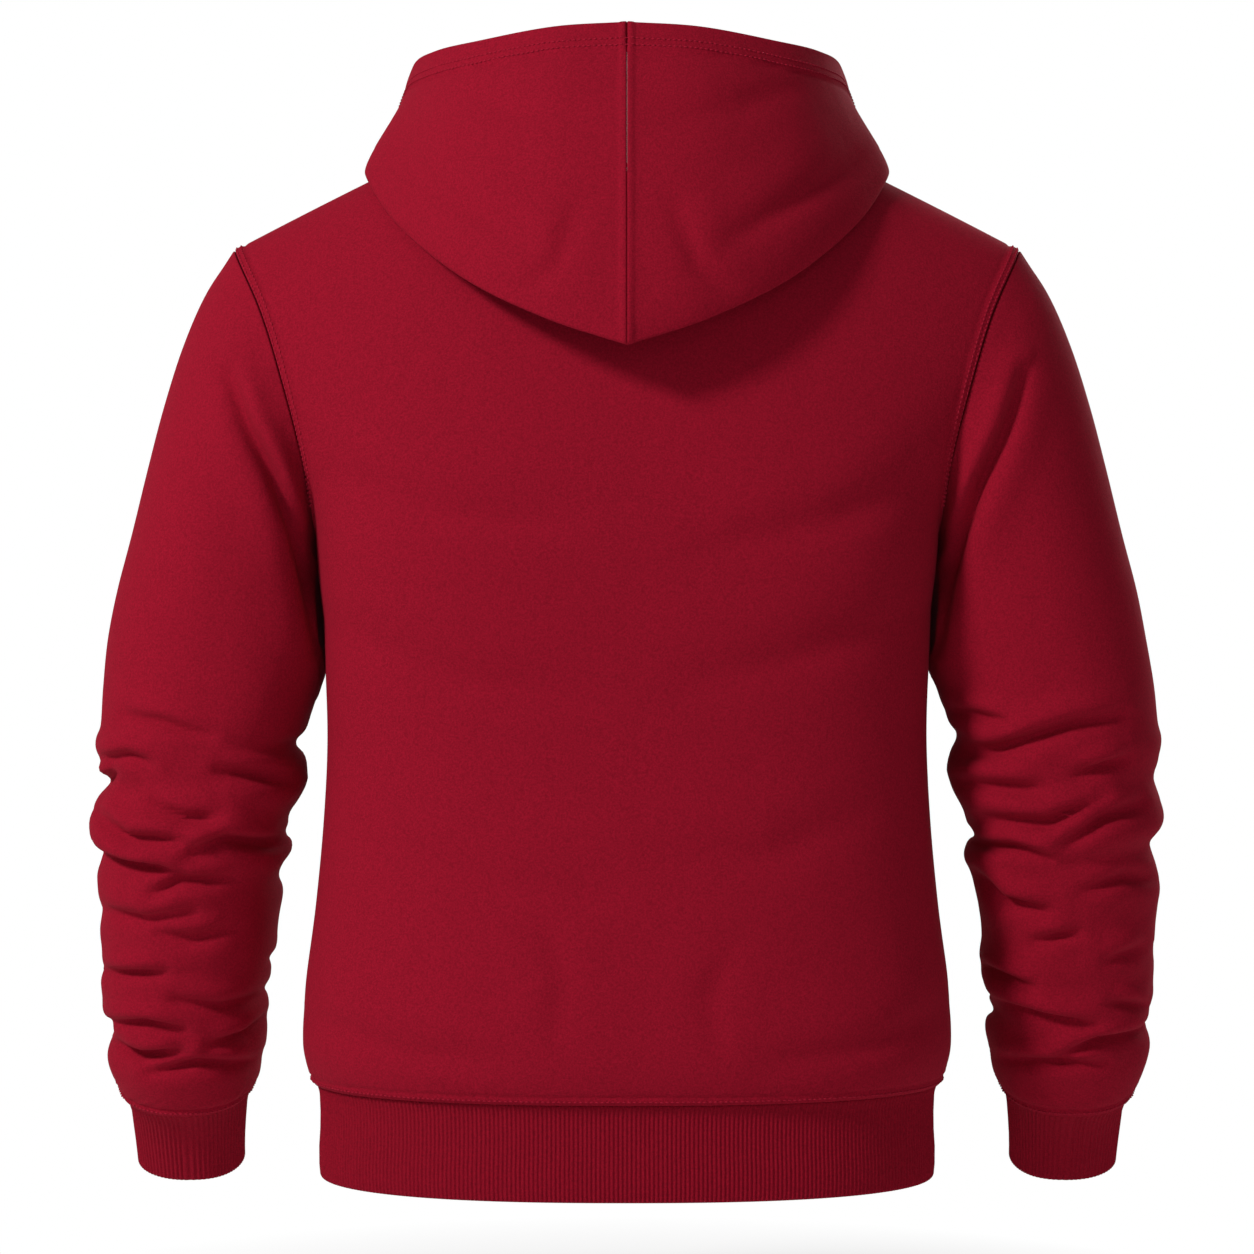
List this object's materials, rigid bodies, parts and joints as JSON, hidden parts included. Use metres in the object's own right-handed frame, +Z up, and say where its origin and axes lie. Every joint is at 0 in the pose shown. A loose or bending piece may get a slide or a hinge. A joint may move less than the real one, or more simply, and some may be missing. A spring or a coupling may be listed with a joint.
{
  "type": "pullover hoodie",
  "caption": "Pullover hoodie in brushed fleece with ribbed hem and cuffs and its hood down, filled out as worn with no wearer.",
  "frame": {"origin": "midway between the two points where the shoulder seams meet the neck", "axes": "+Z up, the front faces -Y, +X is the wearer's left"},
  "size_m": [0.722, 0.2773, 0.7686],
  "materials": {
    "fleece": "deep red brushed fleece, matt",
    "rib": "deep red rib knit, matt"
  },
  "bodies": {
    "root": {"back": "fleece", "front": "fleece", "hem_rib": "rib", "sleeve_left": "fleece", "sleeve_right": "fleece", "cuff_left": "rib", "cuff_right": "rib", "hood_left": "fleece", "hood_right": "fleece"}
  },
  "joints": []
}
